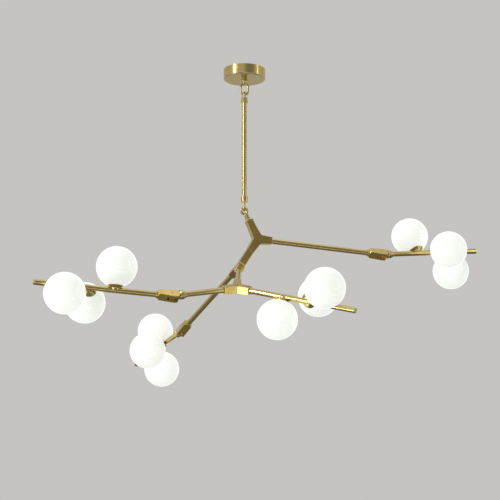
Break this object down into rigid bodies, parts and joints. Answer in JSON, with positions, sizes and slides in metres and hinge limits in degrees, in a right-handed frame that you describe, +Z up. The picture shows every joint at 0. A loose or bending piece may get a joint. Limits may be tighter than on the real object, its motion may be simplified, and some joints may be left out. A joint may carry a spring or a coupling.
{
  "type": "branch chandelier",
  "caption": "Hanging chandelier: a round ceiling canopy and short rod on links carry a branching brass frame of Y-shaped hubs and jointed arms with opal glass globes.",
  "frame": {"origin": "centre of the canopy's ceiling face, which is also the centre of the slotted bar's upper face", "axes": "+Z up, square to the ceiling; +X to the right as pictured, along the slotted bar; +Y away from the camera"},
  "size_m": [1.3775, 1.1551, 0.9425],
  "materials": {
    "champagne_brass": "brushed and lacquered, pale champagne gold",
    "copper": "bare copper-coloured screws",
    "zinc_steel": "zinc plated",
    "white_plastic": "moulded",
    "porcelain_white": "glazed lampholder",
    "frosted_bulb": "frosted",
    "opal_glass": "opal white, lit from inside"
  },
  "bodies": {
    "ceiling_mount": {"ceiling_bracket": "zinc_steel", "canopy": "champagne_brass", "canopy_nipple": "zinc_steel", "nipple_nuts": "zinc_steel", "terminal_block": "white_plastic", "ceiling_eye": "champagne_brass"},
    "drop_rod_body": {"drop_rod": "champagne_brass", "rod_loops": "champagne_brass"},
    "frame_body": {"hub_eye": "champagne_brass", "hub_1": "champagne_brass", "hub_2": "champagne_brass", "hub_3": "champagne_brass", "hub_screws": "copper", "joining_nipples": "zinc_steel", "link_rod": "champagne_brass", "right_inner_rod": "champagne_brass", "rear_inner_rod": "champagne_brass", "left_inner_rod": "champagne_brass", "right_fork": "champagne_brass", "rear_fork": "champagne_brass", "left_tongue": "champagne_brass", "frame_knuckle_screws": "copper", "front_rod": "champagne_brass", "front_end_cap": "champagne_brass", "front_holders": "champagne_brass", "front_sockets": "porcelain_white", "front_bulbs": "frosted_bulb", "front_globe_1": "opal_glass", "front_globe_2": "opal_glass", "front_globe_3": "opal_glass"},
    "right_branch": {"right_tongue": "champagne_brass", "right_grub_screw": "copper", "right_outer_rod": "champagne_brass", "right_end_cap": "champagne_brass", "right_holders": "champagne_brass", "right_sockets": "porcelain_white", "right_bulbs": "frosted_bulb", "right_globe_1": "opal_glass", "right_globe_2": "opal_glass", "right_globe_3": "opal_glass"},
    "rear_branch": {"rear_tongue": "champagne_brass", "rear_grub_screw": "copper", "rear_outer_rod": "champagne_brass", "rear_end_cap": "champagne_brass", "rear_holders": "champagne_brass", "rear_sockets": "porcelain_white", "rear_bulbs": "frosted_bulb", "rear_globe_1": "opal_glass", "rear_globe_2": "opal_glass", "rear_globe_3": "opal_glass"},
    "left_branch": {"left_fork": "champagne_brass", "left_knuckle_screws": "copper", "left_outer_rod": "champagne_brass", "left_end_cap": "champagne_brass", "left_holders": "champagne_brass", "left_sockets": "porcelain_white", "left_bulbs": "frosted_bulb", "left_globe_1": "opal_glass", "left_globe_2": "opal_glass", "left_globe_3": "opal_glass"}
  },
  "joints": [
    {"name": "ceiling_link_swing", "type": "hinge", "parent": "ceiling_mount", "child": "drop_rod_body", "pos_m": [0, 0, -0.0762], "axis": [0, 1, 0], "range_deg": [-20, 20]},
    {"name": "hub_link_swing", "type": "hinge", "parent": "drop_rod_body", "child": "frame_body", "pos_m": [0, 0, -0.4569], "axis": [1, 0, 0], "range_deg": [-20, 20]},
    {"name": "right_knuckle", "type": "hinge", "parent": "frame_body", "child": "right_branch", "pos_m": [0.43836, 0.15756, -0.57141], "axis": [0.266, -0.6851, 0.6782], "range_deg": [-88.7, 61.3]},
    {"name": "rear_knuckle", "type": "hinge", "parent": "frame_body", "child": "rear_branch", "pos_m": [-0.20335, 0.29646, -0.79424], "axis": [0.8588, 0.3832, -0.3399], "range_deg": [-89.9, 60.1]},
    {"name": "left_knuckle", "type": "hinge", "parent": "frame_body", "child": "left_branch", "pos_m": [-0.21051, -0.31966, -0.80048], "axis": [0.2261, -0.7302, 0.6447], "range_deg": [-56.5, 93.5]}
  ]
}
